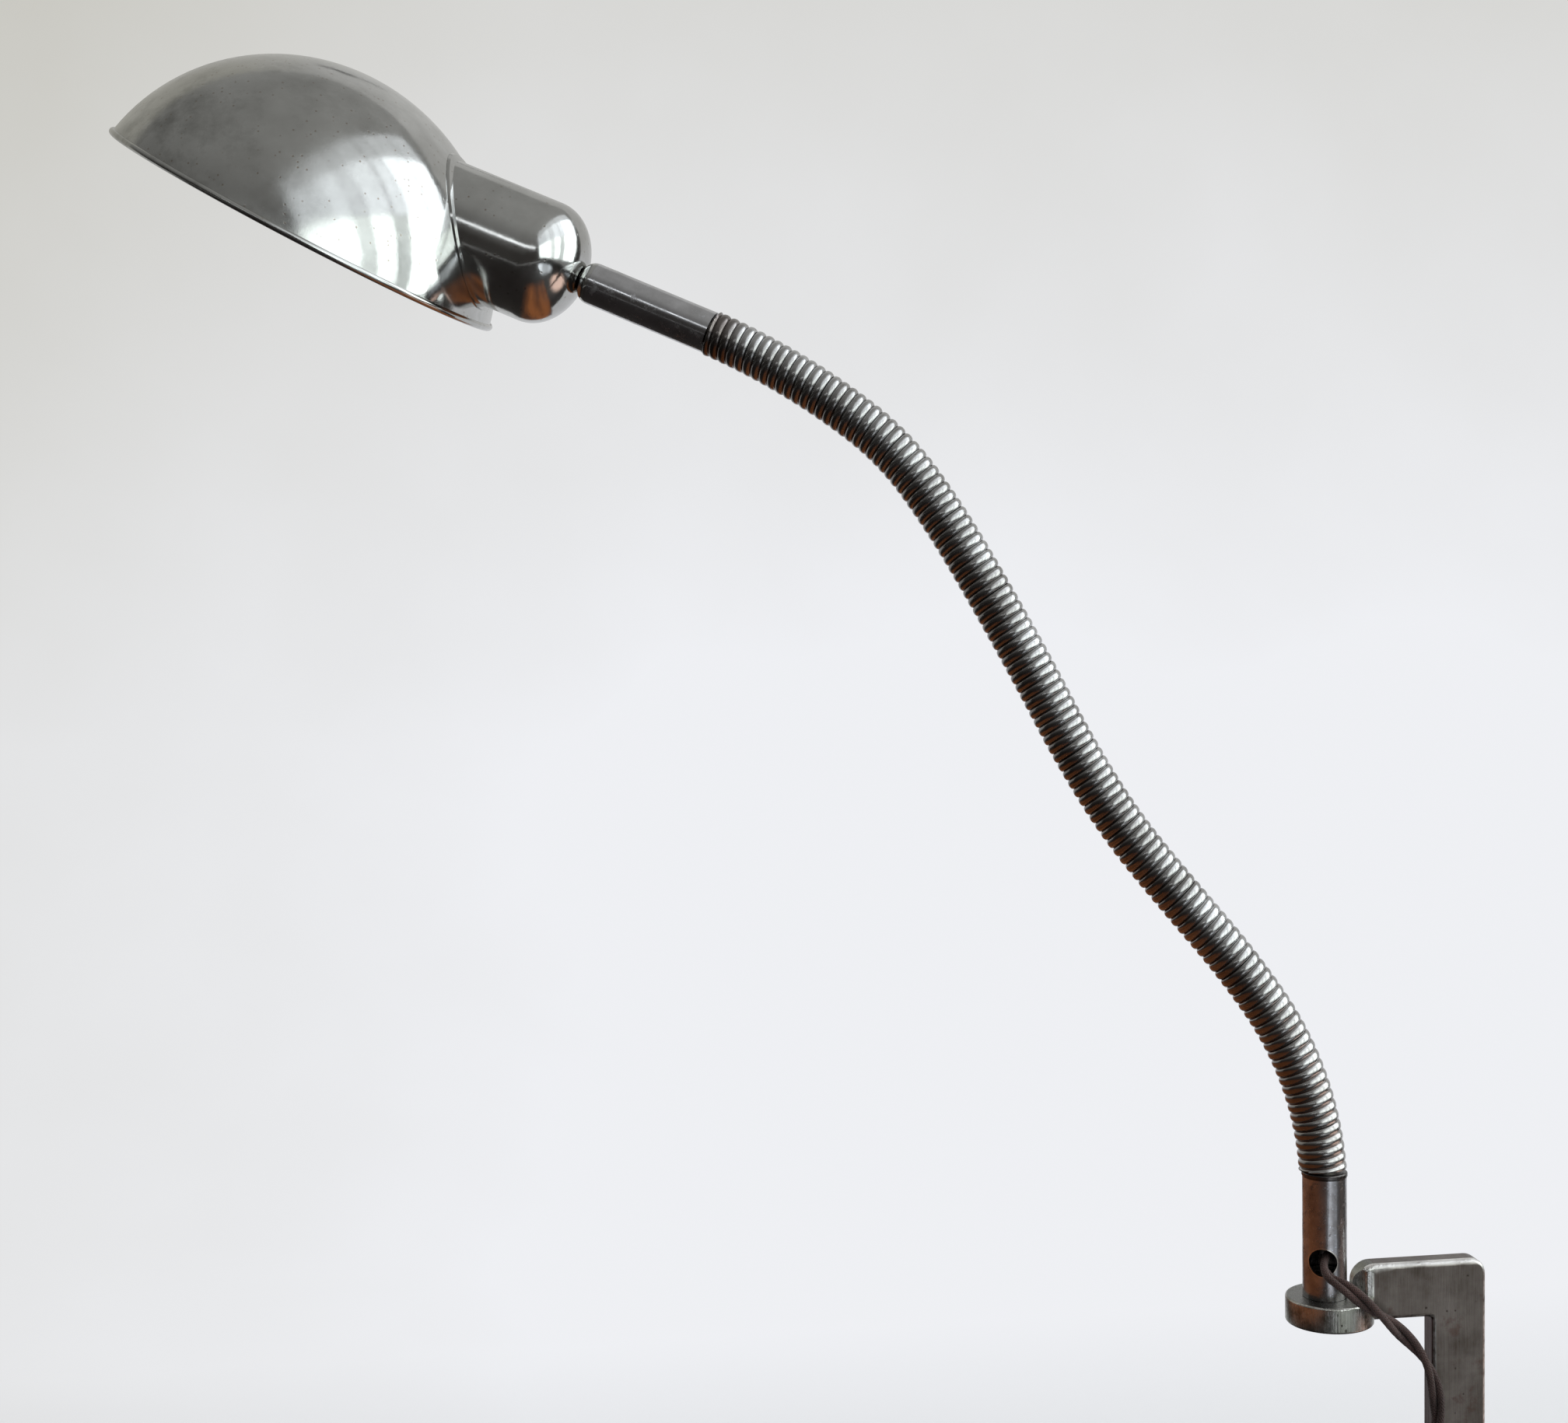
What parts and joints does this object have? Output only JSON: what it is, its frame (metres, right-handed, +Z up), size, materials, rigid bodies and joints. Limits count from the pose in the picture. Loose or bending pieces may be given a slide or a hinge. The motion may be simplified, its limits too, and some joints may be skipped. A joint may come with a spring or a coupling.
{
  "type": "clamp-on gooseneck desk lamp",
  "caption": "Desk lamp with a polished dome shade on a ribbed gooseneck, a C clamp with a thumb screw, and a textile cord with an inline switch and a plug.",
  "frame": {"origin": "centre of the clamp's upper jaw, on the face that rests on the table top", "axes": "+Z up, +X from the jaw to the clamp's back leg, +Y to the side away from the cord's hole"},
  "size_m": [0.4976, 0.2214, 0.8715],
  "materials": {
    "clamp_steel": "dark worn plating, bright rubbed edges",
    "bright_nickel": "polished nickel plate with a grey haze and fine pits",
    "nickel_tube": "worn nickel plate, partly browned",
    "neck_wire": "dark oxidised wire with a dull sheen",
    "turned_steel": "turned steel",
    "cast_grip": "dark cast metal, rubbed",
    "brass": "dull brass",
    "porcelain": "glazed porcelain",
    "bulb_glass": "clear glass",
    "cord_textile": "dark brown twisted textile braid",
    "strap_textile": "woven tape",
    "dark_resin": "dark brown moulded resin, semi-gloss"
  },
  "bodies": {
    "clamp": {"clamp_frame": "clamp_steel", "pivot_screw": "turned_steel", "cord_upper": "cord_textile", "switch_back": "dark_resin", "switch_front": "dark_resin", "switch_screws": "turned_steel", "switch_contacts": "brass", "cord_middle": "cord_textile", "cord_coil": "cord_textile", "coil_tie": "strap_textile", "cord_tail": "cord_textile", "plug_cap": "dark_resin", "plug_base": "dark_resin", "plug_pins": "brass", "plug_screws": "turned_steel"},
    "pad": {"swivel_pad": "turned_steel"},
    "screw": {"clamp_screw": "turned_steel", "wing_grip": "cast_grip"},
    "rocker": {"switch_rocker": "dark_resin"},
    "stem": {"stem_tube": "nickel_tube", "stem_bush": "turned_steel", "lower_ferrule": "turned_steel", "neck_link_01": "neck_wire"},
    "neck_02": {"neck_link_02": "neck_wire"},
    "neck_03": {"neck_link_03": "neck_wire"},
    "neck_04": {"neck_link_04": "neck_wire"},
    "neck_05": {"neck_link_05": "neck_wire"},
    "neck_06": {"neck_link_06": "neck_wire"},
    "neck_07": {"neck_link_07": "neck_wire"},
    "neck_08": {"neck_link_08": "neck_wire"},
    "neck_09": {"neck_link_09": "neck_wire"},
    "neck_10": {"neck_link_10": "neck_wire"},
    "neck_11": {"neck_link_11": "neck_wire"},
    "upper": {"neck_link_12": "neck_wire", "upper_ferrule": "turned_steel", "upper_tube": "nickel_tube", "tube_plug": "turned_steel", "hollow_stud": "turned_steel", "domed_nipple": "bright_nickel", "stud_washer": "turned_steel", "stud_nut": "turned_steel", "holder_cap": "brass", "holder_skirt": "brass", "porcelain_core": "porcelain", "terminal_screws": "brass", "contact_sleeve": "brass", "centre_contact": "brass", "bulb_cap": "brass", "bulb_glass": "bulb_glass", "bulb_filament": "turned_steel"},
    "head": {"housing": "bright_nickel", "shade": "bright_nickel"}
  },
  "joints": [
    {"name": "screw_lift", "type": "slide", "parent": "clamp", "child": "pad", "axis": [0, 0, 1], "range_m": [-0.007, 0.038]},
    {"name": "screw_turn", "type": "hinge", "parent": "pad", "child": "screw", "pos_m": [0, 0, -0.08], "axis": [0, 0, 1], "range_deg": [-1680, 9120]},
    {"name": "switch_rock", "type": "hinge", "parent": "clamp", "child": "rocker", "pos_m": [0.0366, -0.011, -0.1788], "axis": [-1, 0, 0], "range_deg": [0, 16]},
    {"name": "stem_swivel", "type": "hinge", "parent": "clamp", "child": "stem", "pos_m": [-0.0018, 0, 0.0096], "axis": [0, 0, 1], "range_deg": [-60, 60], "deforming": ["cord_upper"]},
    {"name": "neck_bend_01", "type": "hinge", "parent": "stem", "child": "neck_02", "pos_m": [-0.00848, 0.00217, 0.08914], "axis": [0.309, 0.9511, 0], "range_deg": [-8.5, 8.5]},
    {"name": "neck_bend_02", "type": "hinge", "parent": "neck_02", "child": "neck_03", "pos_m": [-0.02226, 0.00665, 0.11852], "axis": [0.309, 0.9511, 0], "range_deg": [-8.5, 8.5]},
    {"name": "neck_sway_03", "type": "hinge", "parent": "neck_03", "child": "neck_04", "pos_m": [-0.04106, 0.01276, 0.14475], "axis": [0.7275, -0.2364, 0.6441], "range_deg": [-8.5, 8.5]},
    {"name": "neck_bend_04", "type": "hinge", "parent": "neck_04", "child": "neck_05", "pos_m": [-0.06094, 0.01921, 0.17011], "axis": [0.309, 0.9511, 0], "range_deg": [-8.5, 8.5]},
    {"name": "neck_bend_05", "type": "hinge", "parent": "neck_05", "child": "neck_06", "pos_m": [-0.07887, 0.02504, 0.19699], "axis": [0.309, 0.9511, 0], "range_deg": [-8.5, 8.5]},
    {"name": "neck_sway_06", "type": "hinge", "parent": "neck_06", "child": "neck_07", "pos_m": [-0.09402, 0.02996, 0.22572], "axis": [0.8489, -0.2758, 0.4509], "range_deg": [-8.5, 8.5]},
    {"name": "neck_bend_07", "type": "hinge", "parent": "neck_07", "child": "neck_08", "pos_m": [-0.1085, 0.03467, 0.25484], "axis": [0.309, 0.9511, 0], "range_deg": [-8.5, 8.5]},
    {"name": "neck_bend_08", "type": "hinge", "parent": "neck_08", "child": "neck_09", "pos_m": [-0.12369, 0.03961, 0.28355], "axis": [0.309, 0.9511, 0], "range_deg": [-8.5, 8.5]},
    {"name": "neck_sway_09", "type": "hinge", "parent": "neck_09", "child": "neck_10", "pos_m": [-0.14043, 0.04505, 0.31128], "axis": [0.7791, -0.2531, 0.5736], "range_deg": [-8.5, 8.5]},
    {"name": "neck_bend_10", "type": "hinge", "parent": "neck_10", "child": "neck_11", "pos_m": [-0.16177, 0.05198, 0.33514], "axis": [0.309, 0.9511, 0], "range_deg": [-8.5, 8.5]},
    {"name": "neck_bend_11", "type": "hinge", "parent": "neck_11", "child": "upper", "pos_m": [-0.18734, 0.06029, 0.354], "axis": [0.309, 0.9511, 0], "range_deg": [-8.5, 8.5]},
    {"name": "head_turn", "type": "hinge", "parent": "upper", "child": "head", "pos_m": [-0.26226, 0.08463, 0.39182], "axis": [-0.8688, 0.2823, 0.4067], "range_deg": [-90, 90]}
  ],
  "couplings": [
    {"joint": "screw_turn", "follows": "screw_lift", "rad_per_m": 4188.8},
    {"joint": "neck_bend_02", "follows": "neck_bend_01", "ratio": 1},
    {"joint": "neck_bend_04", "follows": "neck_bend_01", "ratio": 1},
    {"joint": "neck_bend_05", "follows": "neck_bend_01", "ratio": 1},
    {"joint": "neck_bend_08", "follows": "neck_bend_07", "ratio": 1},
    {"joint": "neck_bend_10", "follows": "neck_bend_07", "ratio": 1},
    {"joint": "neck_bend_11", "follows": "neck_bend_07", "ratio": 1},
    {"joint": "neck_sway_06", "follows": "neck_sway_03", "ratio": 1},
    {"joint": "neck_sway_09", "follows": "neck_sway_03", "ratio": 1}
  ]
}
